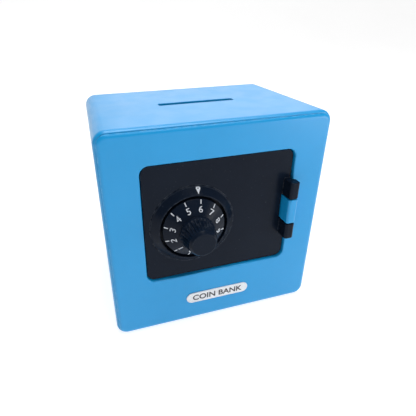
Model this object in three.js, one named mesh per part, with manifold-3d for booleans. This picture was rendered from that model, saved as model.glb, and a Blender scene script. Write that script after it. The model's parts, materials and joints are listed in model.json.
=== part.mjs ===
// A toy safe coin bank: a moulded box with a coin slot, a hinged door with a combination
// dial, and the wheel lock and springy latch behind the door.
// Millimetres. +X is to the right of somebody facing the door, the front faces -Y, +Z is up.
// The origin is the middle of the footprint, on the surface that the bank stands on.

import * as THREE from 'three';
import { mergeVertices } from 'three/addons/utils/BufferGeometryUtils.js';
import Module from 'manifold-3d';

const wasm = await Module();
wasm.setup();

// ---------------------------------------------------------------- driving dimensions
const WIDTH = 110;
const HEIGHT = 111;
const DEPTH = 78;
const FRONT = -DEPTH / 2;            // the plane of the front face
const BACK = DEPTH / 2;
const CORNER = 5.8;                  // radius of the four edges that run front to back
const FRONT_FILLET = 3.2;
const REAR_FILLET = 4;
const WALL = 2.4;
const PLATE = 3;                     // thickness of the front plate
const RIM_DEPTH = 0.75;              // depth of the seam, which runs round on the front fillet
const SEAM = 0.25;                   // gap between the two body mouldings
const FIT = 0.3;                     // gap between pieces that touch on the real object

const SLOT_LENGTH = 40;
const SLOT_WIDTH = 4.3;
const SLOT_Y = -1.4;

const OPENING = { width: 75, height: 62.6, z: 63, corner: 4.4 };
const LIP = { inset: 2, front: 5.7, back: 7.7 };     // stop that the door closes against
const SURROUND_WALL = 2.2;

const DOOR_GAP = 0.5;
const DOOR_FACE = 1.35;              // how far the door's face lies behind the front plane
const DOOR_THICK = 3.9;
const DOOR_BACK = DOOR_FACE + DOOR_THICK;

const HINGE = { x: 36.1, y: -3.1, z: 62.9, half: 2.5, front: -5.6, corner: 1 };
const KNUCKLE_END = 15.9;            // hinge centre to the outer end of a door knuckle
const KNUCKLE_SPLIT = 6.7;           // hinge centre to the end of the middle knuckle
const KNUCKLE_CLEAR = 0.3;
const KNUCKLE_LIFT = 0.5;            // gap between a door knuckle and the case's front face
const KNUCKLE_CHAMFER = 0.9;
const PIN_RADIUS = 1;
const PIN_BORE = 1.25;
const PIN_TOP = 14.6;                // hinge centre to the pin's upper end, in a blind bore

const DIAL = { x: -13.6, z: 61 };
const DIAL_RIM = { radius: 15.3, y: -1.6 };
const KNOB_BASE = { radius: 8.6, y: -5.8 };
const KNOB_CAP = { radius: 5.97, y: -16.1 };
const RING = { inner: 16.6, outer: 20.8, top: -1.8, floor: 3 };
const STEM_RADIUS = 3;
const STEM_BORE = 3.25;
const STEM_FLAT = 2.2;               // stem axis to the flats that key the drive wheel
const HUB_RADIUS = 5;

const WHEEL_RADIUS = 12.5;
const WHEEL_BORE = 5.3;
const GATE = { width: 4.4, depth: 3.4 };
const WHEEL_TAB_RADIUS = 9.4;
const CASE_SCREW = { headRadius: 2.9, headHeight: 2, radius: 1.45, length: 13 };
const SMALL_SCREW = { headRadius: 2.1, headHeight: 1.4, radius: 1, length: 7 };
const LABEL = { width: 35, height: 6.4, z: 15.8, thick: 0.45 };

// ---------------------------------------------------------------- materials
function plastic(color, roughness) {
  return new THREE.MeshStandardMaterial({ color, roughness, metalness: 0 });
}

function metal(color, roughness) {
  return new THREE.MeshStandardMaterial({ color, roughness, metalness: 0.9 });
}

const BLUE = 0x3ba4de;
const BLACK = 0x20262f;
const GREY = 0x8d9197;
const IVORY = 0xd9d4c2;
const STEEL = 0xb4b6b8;
const SILVER = 0xd6d8da;

// ---------------------------------------------------------------- solids
const group = new THREE.Group();

// A closed three.js geometry as a manifold solid.
function solid(geometry) {
  const bare = geometry.index ? geometry.toNonIndexed() : geometry.clone();
  bare.deleteAttribute('normal');
  bare.deleteAttribute('uv');
  const merged = mergeVertices(bare, 1e-4);
  return new wasm.Manifold(new wasm.Mesh({
    numProp: 3,
    vertProperties: new Float32Array(merged.attributes.position.array),
    triVerts: new Uint32Array(merged.index.array),
  }));
}

function geometryOf(body) {
  const mesh = body.getMesh();
  const geometry = new THREE.BufferGeometry();
  geometry.setAttribute('position', new THREE.BufferAttribute(mesh.vertProperties, 3));
  geometry.setIndex(new THREE.BufferAttribute(mesh.triVerts, 1));
  return geometry;
}

function add(name, body, material) {
  const mesh = new THREE.Mesh(geometryOf(body), material);
  mesh.name = name;
  group.add(mesh);
}

// Front-relative depth: 0 is the front plane, positive is into the bank.
function deep(y) {
  return FRONT + y;
}

function box(x0, x1, y0, y1, z0, z1) {
  const geometry = new THREE.BoxGeometry(x1 - x0, y1 - y0, z1 - z0);
  return solid(geometry.translate((x0 + x1) / 2, (y0 + y1) / 2, (z0 + z1) / 2));
}

function roundedShape(width, height, radius, cx = 0, cy = 0) {
  const x = width / 2 - radius;
  const y = height / 2 - radius;
  const shape = new THREE.Shape();
  shape.absarc(cx + x, cy - y, radius, -Math.PI / 2, 0, false);
  shape.absarc(cx + x, cy + y, radius, 0, Math.PI / 2, false);
  shape.absarc(cx - x, cy + y, radius, Math.PI / 2, Math.PI, false);
  shape.absarc(cx - x, cy - y, radius, Math.PI, Math.PI * 1.5, false);
  return shape;
}

// Extrudes a shape drawn in X and Z from depth y0 back to y1.
function slab(shape, y0, y1, options = {}) {
  const { curveSegments = 5, bevel = 0, bevelSegments = 4 } = options;
  const geometry = new THREE.ExtrudeGeometry(shape, {
    depth: y1 - y0 - 2 * bevel,
    curveSegments,
    bevelEnabled: bevel > 0,
    bevelThickness: bevel,
    bevelSize: bevel,
    bevelOffset: -bevel,
    bevelSegments,
  });
  return solid(geometry.translate(0, 0, bevel).rotateX(Math.PI / 2).translate(0, y1, 0));
}

// A round solid about an axis that runs front to back. Profile points are [radius, depth],
// and the outer side is listed from the back forwards.
function turned(profile, x, z, segments = 48) {
  const points = profile.map(([radius, y]) => new THREE.Vector2(radius, deep(y))).reverse();
  return solid(new THREE.LatheGeometry(points, segments).translate(x, 0, z));
}

function rod(radius, y0, y1, x, z, segments = 18) {
  return turned([[0, y1], [radius, y1], [radius, y0], [0, y0]], x, z, segments);
}

function uprightRod(radius, x, y, z0, z1, segments = 20) {
  const geometry = new THREE.CylinderGeometry(radius, radius, z1 - z0, segments);
  return solid(geometry.rotateX(Math.PI / 2).translate(x, y, (z0 + z1) / 2));
}

// ---------------------------------------------------------------- body mouldings
const CASE_BOSSES = [-1, 1].flatMap((sx) => [9.5, HEIGHT - 9.5].map((z) => [sx * 46, z]));
const SCREW_SEAT = 9;                // depth of the screw holes in the rear wall
const SEAT_THICK = 1.8;

function bodyOutline(inset) {
  return roundedShape(WIDTH - 2 * inset, HEIGHT - 2 * inset, CORNER - Math.min(inset, 4.2), 0, HEIGHT / 2);
}

// One block of the whole body's outer shape, with the front or the rear fillet at both ends.
function bodyBlock(fillet) {
  return slab(bodyOutline(0), FRONT, BACK, { bevel: fillet, curveSegments: 7, bevelSegments: 4 });
}

function frontFrame() {
  const { width, height, z, corner } = OPENING;
  const rimEnd = deep(RIM_DEPTH);
  let frame = bodyBlock(FRONT_FILLET).intersect(box(-WIDTH, WIDTH, FRONT - 1, rimEnd, -1, HEIGHT + 1));
  const tongueInset = WALL + FIT;
  frame = frame.add(
    slab(bodyOutline(tongueInset), deep(RIM_DEPTH - 0.3), deep(9))
      .subtract(slab(bodyOutline(tongueInset + 1.6), deep(PLATE), deep(10))),
  );
  frame = frame.add(slab(
    roundedShape(width + 2 * SURROUND_WALL, height + 2 * SURROUND_WALL, corner + 2, 0, z),
    deep(PLATE - 0.5),
    deep(LIP.back),
  ));
  frame = frame.subtract(slab(roundedShape(width, height, corner, 0, z), deep(-1), deep(LIP.front)));
  frame = frame.subtract(slab(
    roundedShape(width - 2 * LIP.inset, height - 2 * LIP.inset, corner - 1, 0, z),
    deep(LIP.front - 1),
    deep(LIP.back + 1),
  ));
  for (const [x, bossZ] of CASE_BOSSES) {
    frame = frame.add(rod(3.4, PLATE - 0.5, DEPTH - SCREW_SEAT - SEAT_THICK - FIT, x, bossZ));
    frame = frame.subtract(rod(1.75, DEPTH - 24, DEPTH, x, bossZ, 12));
  }
  return frame.add(middleKnuckle()).subtract(pinBore());
}

// The case's own knuckle, which stands on the surround behind the door's notch.
function middleKnuckle() {
  const { x, z, half, front, corner } = HINGE;
  const length = LIP.front - front;
  const shape = roundedShape(2 * half, length, corner, x, deep(front) + length / 2);
  const geometry = new THREE.ExtrudeGeometry(shape, {
    depth: 2 * KNUCKLE_SPLIT,
    curveSegments: 4,
    bevelEnabled: false,
  });
  return solid(geometry.translate(0, 0, z - KNUCKLE_SPLIT));
}

// The hinge pin goes in from below, so its bore is closed at the top.
function pinBore() {
  const bottom = HINGE.z - KNUCKLE_END - 1;
  return uprightRod(PIN_BORE, HINGE.x, deep(HINGE.y), bottom, HINGE.z + PIN_TOP + FIT);
}

function bodyShell() {
  const start = deep(RIM_DEPTH + SEAM);
  let shell = bodyBlock(REAR_FILLET).intersect(box(-WIDTH, WIDTH, 0, BACK + 1, -1, HEIGHT + 1));
  shell = shell.add(bodyBlock(FRONT_FILLET).intersect(box(-WIDTH, WIDTH, start, 0, -1, HEIGHT + 1)));
  shell = shell.subtract(slab(bodyOutline(WALL), FRONT, BACK - WALL));
  const slotShape = roundedShape(SLOT_LENGTH, SLOT_WIDTH, 0.8, 0, SLOT_Y);
  const slot = new THREE.ExtrudeGeometry(slotShape, { depth: 20, curveSegments: 3, bevelEnabled: false });
  shell = shell.subtract(solid(slot.translate(0, 0, HEIGHT - 10)));
  for (const [x, z] of CASE_BOSSES) {
    shell = shell.add(rod(5.2, DEPTH - SCREW_SEAT - SEAT_THICK, DEPTH - WALL / 2, x, z));
    shell = shell.subtract(rod(3.5, DEPTH - SCREW_SEAT, DEPTH + 1, x, z));
    shell = shell.subtract(rod(1.8, DEPTH - SCREW_SEAT - SEAT_THICK - 1, DEPTH, x, z, 12));
  }
  return shell;
}

// ---------------------------------------------------------------- screws
// A pan head screw with a cross recess, its head towards the back. headDepth is its seat.
function screw(kind, headDepth, x, z) {
  const { headRadius, headHeight, radius, length } = kind;
  const top = headDepth + headHeight;
  const body = turned([
    [0, top],
    [headRadius * 0.55, top],
    [headRadius * 0.9, top - headHeight * 0.35],
    [headRadius, top - headHeight * 0.75],
    [headRadius, headDepth],
    [radius, headDepth],
    [radius, headDepth - length * 0.85],
    [0, headDepth - length],
  ], x, z, 12);
  const slotHalf = headRadius * 0.6;
  const slotWide = headRadius * 0.14;
  const floor = deep(top - headHeight * 0.5);
  const across = box(x - slotHalf, x + slotHalf, floor, deep(top + 1), z - slotWide, z + slotWide);
  const down = box(x - slotWide, x + slotWide, floor, deep(top + 1), z - slotHalf, z + slotHalf);
  return body.subtract(across).subtract(down);
}

// ---------------------------------------------------------------- door
const COVER = { half: 15.3, wall: 1.6, back: 20.8, front: DOOR_BACK + FIT, earDepth: 9.5, earThick: 1.6 };
const COVER_EARS = [-1, 1].flatMap((sx) => [-1, 1].map((sz) => [DIAL.x + sx * 9, DIAL.z + sz * 18.4]));
const LATCH_ANCHOR = { x0: -34, x1: -26, z0: 80, z1: 90, front: DOOR_BACK + FIT, back: 10.4 };
const LATCH_SCREWS = [[-30, 82.4], [-30, 87.6]];
const SCREW_BOSS_RADIUS = 2.6;
const SCREW_PILOT = 1.25;

function doorPanel() {
  const width = OPENING.width - 2 * DOOR_GAP;
  const height = OPENING.height - 2 * DOOR_GAP;
  const plate = roundedShape(width, height, OPENING.corner - DOOR_GAP, 0, OPENING.z);
  let door = slab(plate, deep(DOOR_FACE), deep(DOOR_BACK));
  door = door.add(turned([
    [0, DOOR_BACK - 1],
    [RING.outer, DOOR_BACK - 1],
    [RING.outer, DOOR_FACE],
    [RING.inner + 0.5, RING.top],
    [RING.inner, RING.top + 0.2],
    [0, RING.top + 0.2],
  ], DIAL.x, DIAL.z, 48));
  door = door.subtract(rod(RING.inner, -5, RING.floor, DIAL.x, DIAL.z, 48));
  door = door.add(rod(HUB_RADIUS, DOOR_BACK - 1, 12.6, DIAL.x, DIAL.z, 24));
  door = door.subtract(rod(STEM_BORE, -5, 30, DIAL.x, DIAL.z, 24));
  for (const [x, z] of COVER_EARS) {
    door = door.add(rod(SCREW_BOSS_RADIUS, DOOR_BACK - 1, COVER.earDepth - FIT, x, z, 16));
    door = door.subtract(rod(SCREW_PILOT, 4, 20, x, z, 12));
  }
  for (const [x, z] of LATCH_SCREWS) {
    door = door.subtract(rod(SCREW_PILOT, 3.6, 20, x, z, 12));
  }
  return addDoorKnuckles(door);
}

// A door knuckle seen from above. It reaches over the case's front face, and its rear corner
// is cut off so that it clears the case as the door swings.
function doorKnuckle(z0, z1) {
  const { x, half, front, corner } = HINGE;
  const doorRight = OPENING.width / 2 - DOOR_GAP;
  const near = deep(front) + corner;
  const shape = new THREE.Shape();
  shape.absarc(x - half + corner, near, corner, Math.PI, Math.PI * 1.5, false);
  shape.absarc(x + half - corner, near, corner, Math.PI * 1.5, Math.PI * 2, false);
  shape.lineTo(x + half, deep(-KNUCKLE_LIFT - KNUCKLE_CHAMFER));
  shape.lineTo(x + half - KNUCKLE_CHAMFER, deep(-KNUCKLE_LIFT));
  shape.lineTo(doorRight, deep(-KNUCKLE_LIFT));
  shape.lineTo(doorRight, deep(DOOR_BACK));
  shape.lineTo(x - half, deep(DOOR_BACK));
  const geometry = new THREE.ExtrudeGeometry(shape, {
    depth: z1 - z0,
    curveSegments: 4,
    bevelEnabled: false,
  });
  return solid(geometry.translate(0, 0, z0));
}

function addDoorKnuckles(door) {
  const { x, half, z } = HINGE;
  const notch = KNUCKLE_SPLIT + KNUCKLE_CLEAR;
  const clear = 0.4;
  let made = door.subtract(box(x - half - clear, WIDTH, deep(-10), deep(20), z - notch, z + notch));
  for (const side of [-1, 1]) {
    const ends = [z + side * notch, z + side * KNUCKLE_END].sort((a, b) => a - b);
    made = made.add(doorKnuckle(...ends));
  }
  return made.subtract(pinBore());
}

// ---------------------------------------------------------------- dial and knob
const SPIGOT = { radius: 4.2, y: -9.5 };

function coneDepth(radius) {
  const slope = (KNOB_BASE.y - DIAL_RIM.y) / (DIAL_RIM.radius - KNOB_BASE.radius);
  return DIAL_RIM.y + slope * (DIAL_RIM.radius - radius);
}

function numberDial() {
  const underside = RING.floor - FIT - 0.1;
  const stemEnd = 15.2;
  let dial = turned([
    [0, SPIGOT.y],
    [SPIGOT.radius, SPIGOT.y],
    [SPIGOT.radius, coneDepth(KNOB_BASE.radius)],
    [KNOB_BASE.radius, coneDepth(KNOB_BASE.radius)],
    [DIAL_RIM.radius, DIAL_RIM.y],
    [DIAL_RIM.radius, DIAL_RIM.y + 1.2],
    [DIAL_RIM.radius - 0.6, underside],
    [STEM_RADIUS, underside],
    [STEM_RADIUS, stemEnd],
    [0, stemEnd],
  ].reverse(), DIAL.x, DIAL.z, 48);
  for (const side of [-1, 1]) {
    const x = [DIAL.x + side * STEM_FLAT, DIAL.x + side * 6].sort((a, b) => a - b);
    dial = dial.subtract(box(x[0], x[1], deep(12.8), deep(20), DIAL.z - 6, DIAL.z + 6));
  }
  return dial.subtract(rod(1.3, 6, 20, DIAL.x, DIAL.z, 16));
}

// A tapered knob whose side carries fine flutes, with a smooth foot and a flat cap.
function dialKnob() {
  const flutes = 30;
  const foot = coneDepth(KNOB_BASE.radius) - FIT;
  const outline = (radius) => {
    const shape = new THREE.Shape();
    for (let i = 0; i < flutes * 2; i += 1) {
      const angle = (i * Math.PI) / flutes;
      const r = radius * (i % 2 ? 0.955 : 1);
      const point = [r * Math.cos(angle), r * Math.sin(angle)];
      if (i) shape.lineTo(...point);
      else shape.moveTo(...point);
    }
    return shape;
  };
  const length = foot - 1 - KNOB_CAP.y;
  const geometry = new THREE.ExtrudeGeometry(outline(1), { depth: length, bevelEnabled: false });
  const position = geometry.attributes.position;
  for (let i = 0; i < position.count; i += 1) {
    const share = position.getZ(i) / length;
    const radius = KNOB_BASE.radius - 0.5 + share * (KNOB_CAP.radius - KNOB_BASE.radius + 0.5);
    position.setX(i, position.getX(i) * radius);
    position.setY(i, position.getY(i) * radius);
  }
  const fluted = solid(geometry.rotateX(Math.PI / 2).translate(DIAL.x, deep(foot - 1), DIAL.z));
  const capCone = turned([
    [0, foot],
    [KNOB_BASE.radius + 2, foot],
    [KNOB_BASE.radius + 2, KNOB_CAP.y + 2.4],
    [KNOB_CAP.radius - 0.6, KNOB_CAP.y],
    [0, KNOB_CAP.y],
  ], DIAL.x, DIAL.z, 36);
  const base = turned([
    [0, foot],
    [KNOB_BASE.radius, foot],
    [KNOB_BASE.radius, foot - 0.8],
    [KNOB_BASE.radius - 0.4, foot - 1.2],
    [0, foot - 1.2],
  ], DIAL.x, DIAL.z, 36);
  const socket = rod(SPIGOT.radius + FIT, SPIGOT.y - FIT, foot + 5, DIAL.x, DIAL.z, 24);
  return fluted.intersect(capCone).add(base).subtract(socket);
}

// ---------------------------------------------------------------- combination wheels
// A notched wheel. Tabs are [angle, from depth, to depth] and reach the next wheel's tab.
function lockWheel(y0, y1, bore, gateAngle, tabs) {
  let wheel = rod(WHEEL_RADIUS, y0, y1, DIAL.x, DIAL.z, 40);
  wheel = wheel.subtract(bore);
  const gate = solid(
    new THREE.BoxGeometry(GATE.depth + 4, 20, GATE.width)
      .translate(WHEEL_RADIUS - GATE.depth + (GATE.depth + 4) / 2, 0, 0)
      .rotateY(THREE.MathUtils.degToRad(gateAngle))
      .translate(DIAL.x, deep((y0 + y1) / 2), DIAL.z),
  );
  wheel = wheel.subtract(gate);
  for (const [angle, from, to] of tabs) {
    wheel = wheel.add(solid(
      new THREE.BoxGeometry(2.6, to - from, 2)
        .translate(WHEEL_TAB_RADIUS, 0, 0)
        .rotateY(THREE.MathUtils.degToRad(angle))
        .translate(DIAL.x, deep((from + to) / 2), DIAL.z),
    ));
  }
  return wheel;
}

function washer(inner, outer, y0, y1) {
  return turned([[inner, y0], [inner, y1], [outer, y1], [outer, y0], [inner, y0]], DIAL.x, DIAL.z, 24);
}

function stemKeyBore() {
  const half = STEM_FLAT + 0.2;
  return rod(STEM_RADIUS + 0.2, 10, 20, DIAL.x, DIAL.z, 24)
    .intersect(box(DIAL.x - half, DIAL.x + half, deep(9), deep(21), DIAL.z - 8, DIAL.z + 8));
}

const WHEEL_1 = [5.7, 7.7];
const WASHER_1 = [8, 8.6];
const WHEEL_2 = [8.9, 10.9];
const WASHER_2 = [11.2, 11.8];
const DRIVE = [13, 15];
const TAB_STEP = 15;                 // degrees between two tabs that lie side by side

function wheelBore() {
  return rod(WHEEL_BORE, 0, 30, DIAL.x, DIAL.z, 24);
}

// ---------------------------------------------------------------- latch and cover
// One springy moulding: an anchor block, a thin leaf, and a head with the wedge that catches
// behind the case's lip and the fence that faces the wheels.
function latchArm() {
  const { x0, x1, z0, z1, front, back } = LATCH_ANCHOR;
  const headX = [-34.3, -30];
  const headZ = [DIAL.z - 5.5, DIAL.z + 5.5];
  const headY = [DOOR_BACK + 0.6, 15];
  let arm = box(x0, x1, deep(front), deep(back), z0, z1);
  arm = arm.add(box(-32.8, -31.6, deep(front + 0.6), deep(back), headZ[1] - 1, z0 + 1));
  arm = arm.add(box(headX[0], headX[1], deep(headY[0]), deep(headY[1]), headZ[0], headZ[1]));
  const fenceTip = DIAL.x - WHEEL_RADIUS - 0.4;
  arm = arm.add(box(headX[1] - 1, fenceTip, deep(headY[0]), deep(headY[1]), DIAL.z - 1.8, DIAL.z + 1.8));
  arm = arm.add(wedge(headX[0], headZ));
  for (const [x, z] of LATCH_SCREWS) {
    arm = arm.subtract(rod(1.25, 0, 30, x, z, 16));
  }
  return arm;
}

// The catch: a prism with a sloping front that rides over the lip and a slope behind that
// lets a pull on the knob draw it out once the fence can drop into the gates.
function wedge(x, [z0, z1]) {
  const tip = -OPENING.width / 2 - 1.2;
  const shape = new THREE.Shape();
  shape.moveTo(x + 0.5, deep(LIP.back + FIT));
  shape.lineTo(tip + 1.6, deep(LIP.back + FIT));
  shape.lineTo(tip, deep(LIP.back + FIT + 1.6));
  shape.lineTo(tip, deep(LIP.back + FIT + 2.4));
  shape.lineTo(x + 0.5, deep(14));
  const geometry = new THREE.ExtrudeGeometry(shape, { depth: z1 - z0 - 3, bevelEnabled: false });
  return solid(geometry.translate(0, 0, z0 + 1.5));
}

function lockCover() {
  const { half, wall, back, front, earDepth, earThick } = COVER;
  const square = (inset, corner) => roundedShape(2 * (half - inset), 2 * (half - inset), corner, DIAL.x, DIAL.z);
  let cover = slab(square(0, 3), deep(front), deep(back), { curveSegments: 5 });
  for (const [x, z] of COVER_EARS) {
    const toward = Math.sign(z - DIAL.z);
    const span = [DIAL.z + toward * (half - 1), z].sort((a, b) => a - b);
    cover = cover.add(box(x - 3, x + 3, deep(earDepth), deep(earDepth + earThick), span[0], span[1]));
    cover = cover.add(rod(3, earDepth, earDepth + earThick, x, z, 20));
  }
  cover = cover.subtract(slab(square(wall, 1.6), deep(front - 1), deep(back - wall), { curveSegments: 4 }));
  for (const [x, z] of COVER_EARS) {
    cover = cover.subtract(rod(1.3, 0, 30, x, z, 16));
  }
  const window = box(DIAL.x - half - 1, DIAL.x - half + wall + 1, deep(0), deep(15.8), DIAL.z - 3, DIAL.z + 3);
  return cover.subtract(window);
}

function nameLabel() {
  const { width, height, z, thick } = LABEL;
  const shape = roundedShape(width, height, height / 2 - 0.001, 0, z);
  return slab(shape, deep(-thick - 0.05), deep(-0.05), { curveSegments: 10 });
}

// ---------------------------------------------------------------- assembly
add('front_frame', frontFrame(), plastic(BLUE, 0.42));
add('body_shell', bodyShell(), plastic(BLUE, 0.45));
CASE_BOSSES.forEach(([x, z], i) => {
  const seat = DEPTH - SCREW_SEAT + FIT / 2;
  add(`case_screw_${i + 1}`, screw(CASE_SCREW, seat, x, z), metal(STEEL, 0.35));
});
add('name_label', nameLabel(), plastic(SILVER, 0.4));
const pinBottom = HINGE.z - KNUCKLE_END + 0.3;
add(
  'hinge_pin',
  uprightRod(PIN_RADIUS, HINGE.x, deep(HINGE.y), pinBottom, HINGE.z + PIN_TOP),
  metal(STEEL, 0.3),
);

add('door_panel', doorPanel(), plastic(BLACK, 0.38));
add('lock_cover', lockCover(), plastic(BLACK, 0.5));
COVER_EARS.forEach(([x, z], i) => {
  const seat = COVER.earDepth + COVER.earThick + FIT / 2;
  add(`cover_screw_${i + 1}`, screw(SMALL_SCREW, seat, x, z), metal(STEEL, 0.35));
});
add('latch_arm', latchArm(), plastic(IVORY, 0.45));
LATCH_SCREWS.forEach(([x, z], i) => {
  const seat = LATCH_ANCHOR.back + FIT / 2;
  add(`latch_screw_${i + 1}`, screw(SMALL_SCREW, seat, x, z), metal(STEEL, 0.35));
});
add('spacer_washer_1', washer(HUB_RADIUS + 0.2, 7, ...WASHER_1), plastic(IVORY, 0.5));
add('spacer_washer_2', washer(HUB_RADIUS + 0.2, 7, ...WASHER_2), plastic(IVORY, 0.5));

add('number_dial', numberDial(), plastic(BLACK, 0.35));
add('dial_knob', dialKnob(), plastic(BLACK, 0.35));
add(
  'drive_wheel',
  lockWheel(...DRIVE, stemKeyBore(), 250, [[60 + TAB_STEP * 2, DRIVE[0] - 1.4, DRIVE[0] + 0.2]]),
  plastic(GREY, 0.5),
);
add('spindle_washer', washer(1.5, 5, DRIVE[1] + FIT, DRIVE[1] + FIT + 0.8), metal(STEEL, 0.3));
add('spindle_screw', screw(SMALL_SCREW, DRIVE[1] + FIT + 0.8 + 0.1, DIAL.x, DIAL.z), metal(STEEL, 0.35));

add(
  'tumbler_wheel_2',
  lockWheel(...WHEEL_2, wheelBore(), 130, [
    [60 + TAB_STEP, WHEEL_2[1] - 0.2, WHEEL_2[1] + 1.5],
    [200 + TAB_STEP, WHEEL_2[0] - 0.8, WHEEL_2[0] + 0.2],
  ]),
  plastic(IVORY, 0.5),
);
add(
  'tumbler_wheel_1',
  lockWheel(...WHEEL_1, wheelBore(), 35, [[200, WHEEL_1[1] - 0.2, WHEEL_1[1] + 0.8]]),
  plastic(IVORY, 0.5),
);

export default group;
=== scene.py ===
"""The looks of a toy safe coin bank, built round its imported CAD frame.

Lengths are in millimetres in the frame's own axes, and MM turns them into metres when a piece is
finished. +X is to the right of somebody facing the door, the front faces -Y and +Z is up. A depth is
measured from the plane of the front face, and is positive into the bank.
"""

import json
import math

import bmesh
import bpy
from mathutils import Matrix, Vector


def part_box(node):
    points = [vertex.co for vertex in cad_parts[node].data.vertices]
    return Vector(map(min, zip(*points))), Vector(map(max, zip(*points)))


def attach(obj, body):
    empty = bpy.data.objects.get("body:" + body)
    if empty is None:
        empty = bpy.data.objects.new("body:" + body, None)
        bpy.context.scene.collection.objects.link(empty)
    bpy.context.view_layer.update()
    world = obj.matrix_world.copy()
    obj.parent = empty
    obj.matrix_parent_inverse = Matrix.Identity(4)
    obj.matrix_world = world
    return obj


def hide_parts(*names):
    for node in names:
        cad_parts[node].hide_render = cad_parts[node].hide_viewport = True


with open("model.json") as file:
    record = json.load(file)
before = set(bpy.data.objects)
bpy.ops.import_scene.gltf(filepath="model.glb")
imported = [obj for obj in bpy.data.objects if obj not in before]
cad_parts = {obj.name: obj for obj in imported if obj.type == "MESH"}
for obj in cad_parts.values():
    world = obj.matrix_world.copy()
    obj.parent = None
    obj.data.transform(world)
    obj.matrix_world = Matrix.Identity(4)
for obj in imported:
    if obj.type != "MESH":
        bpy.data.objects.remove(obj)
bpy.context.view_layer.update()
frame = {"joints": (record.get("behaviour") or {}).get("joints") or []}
MM = 0.001


# ---------------------------------------- places read from the frame
def corners(node):
    """Lowest and highest corner of a CAD node."""
    low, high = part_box(node)
    return low / MM, high / MM


def joint_place(name):
    joint = next(j for j in frame["joints"] if j["name"] == name)
    return Vector(joint["pos_m"]) / MM


# ---------------------------------------- dimensions
CORNER = 5.8                    # radius of the body's four long edges
FRONT_FILLET = 3.2
REAR_FILLET = 4.0
WALL = 2.4
PLATE = 3.0
RIM_DEPTH = 0.75                # depth of the seam, which runs round on the front fillet
SEAM, SEAM_EDGE = 0.25, 0.08    # width of the seam, and the bevel of its two edges
FIT = 0.3
SOFT_EDGE = 0.25                # rounding left by the mould on an edge that looks sharp

SHELL_LOW, SHELL_HIGH = corners("body_shell")
WIDTH = SHELL_HIGH.x - SHELL_LOW.x
HEIGHT = SHELL_HIGH.z
FRONT = SHELL_LOW.y - RIM_DEPTH - SEAM
DEPTH = SHELL_HIGH.y - FRONT

SLOT_LENGTH, SLOT_WIDTH, SLOT_Y = 40.0, 4.3, -1.4
OPENING_WIDTH, OPENING_HEIGHT, OPENING_Z, OPENING_CORNER = 75.0, 62.6, 63.0, 4.4
OPENING_EDGE = 0.6
LIP_INSET, LIP_FRONT, LIP_BACK = 2.0, 5.7, 7.7
SURROUND_WALL = 2.2
TONGUE_WALL, TONGUE_BACK = 1.6, 9.0
BOSS_RADIUS, BOSS_PILOT = 3.4, 1.75                     # the front frame's bosses for screws
TUBE_RADIUS, TUBE_HOLE, WELL_RADIUS = 5.2, 1.8, 3.5     # the shell's tubes for them

DOOR_GAP = 0.5
DOOR_FACE, DOOR_BACK = 1.35, 5.25
HINGE = joint_place("door_swing")
HINGE_HALF, HINGE_FRONT, HINGE_CORNER = 2.5, -5.6, 1.5
KNUCKLE_END, KNUCKLE_SPLIT, KNUCKLE_CLEAR, KNUCKLE_LIFT = 15.9, 6.7, 0.3, 0.5
KNUCKLE_ROOT = 1.7              # how far the case's knuckle runs back into the opening's lip
PIN_BORE = 1.25
MOULD_EDGE = 0.3                # rounding of the door's edges, less than any of its corners
KNUCKLE_EDGE = 0.6              # rounding of a knuckle's ends
LAP = 0.1                       # how far joined shapes run into or past each other's faces

DIAL = joint_place("dial_turn")
RIM_RADIUS, RIM_LEVEL = 15.3, -1.6
KNOB_RADIUS, KNOB_FOOT = 8.6, -5.8
CAP_RADIUS, CAP_LEVEL = 5.97, -16.1
CONE_SLOPE = (RIM_LEVEL - KNOB_FOOT) / (RIM_RADIUS - KNOB_RADIUS)
RING_INNER, RING_CREST, RING_OUTER, RING_TOP, WELL_FLOOR = 16.6, 17.1, 20.8, -1.8, 3.0
RING_SLOPE = (DOOR_FACE - RING_TOP) / (RING_OUTER - RING_CREST)
RING_BEAD, SEAT_HOLE = 0.5, 18.2
HUB_RADIUS, HUB_BACK = 5.0, 12.6
STEM_RADIUS, STEM_BORE, STEM_FLAT, STEM_END = 3.0, 3.25, 2.2, 15.2
STEM_PILOT = 1.3
SPIGOT_RADIUS, SPIGOT_FRONT = 4.2, -9.5
FLUTES, FLUTE_DEPTH = 30, 0.6

WHEEL_RADIUS, WHEEL_BORE = 12.5, 5.3
DRIVE_DEPTHS, MIDDLE_DEPTHS, INNER_DEPTHS = (13, 15), (8.9, 10.9), (5.7, 7.7)
GATE_WIDTH, GATE_DEPTH = 4.4, 3.4
TAB_RADIUS, TAB_HALF_LENGTH, TAB_HALF_WIDTH = 9.4, 1.3, 1.0
COVER_HALF, COVER_WALL, COVER_FRONT, COVER_BACK = 15.3, 1.6, DOOR_BACK + FIT, 20.8
EAR_FRONT, EAR_THICK, EAR_RADIUS, EAR_HOLE = 9.5, 1.6, 3.0, 1.3
DOOR_BOSS, SMALL_HOLE = 2.6, 1.25
SCREW_SEAT, SEAT_THICK = 9.0, 1.8
CASE_HEAD, CASE_CROSS = 2.0, 1.6        # height of a screw's head, and reach of its cross
SMALL_HEAD, SMALL_CROSS = 1.4, 1.15

LATCH_FRONT = DOOR_BACK + FIT
ANCHOR_LEFT, ANCHOR_RIGHT, ANCHOR_LOW, ANCHOR_HIGH, ANCHOR_BACK = -34.0, -26.0, 80.0, 90.0, 10.4
LEAF_LEFT, LEAF_RIGHT, LEAF_BACK = -32.8, -31.6, 10.1
HEAD_LEFT, HEAD_RIGHT, HEAD_HALF, HEAD_BACK = -34.3, -30.0, 5.5, 15.0
FENCE_HALF, FENCE_BACK = 1.8, 14.7

CORNER_STEPS = 10               # points along one rounded corner, less one
EDGE_STEPS = 3                  # rings across one softened edge
ROUND = 96                      # points round a turned piece


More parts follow.
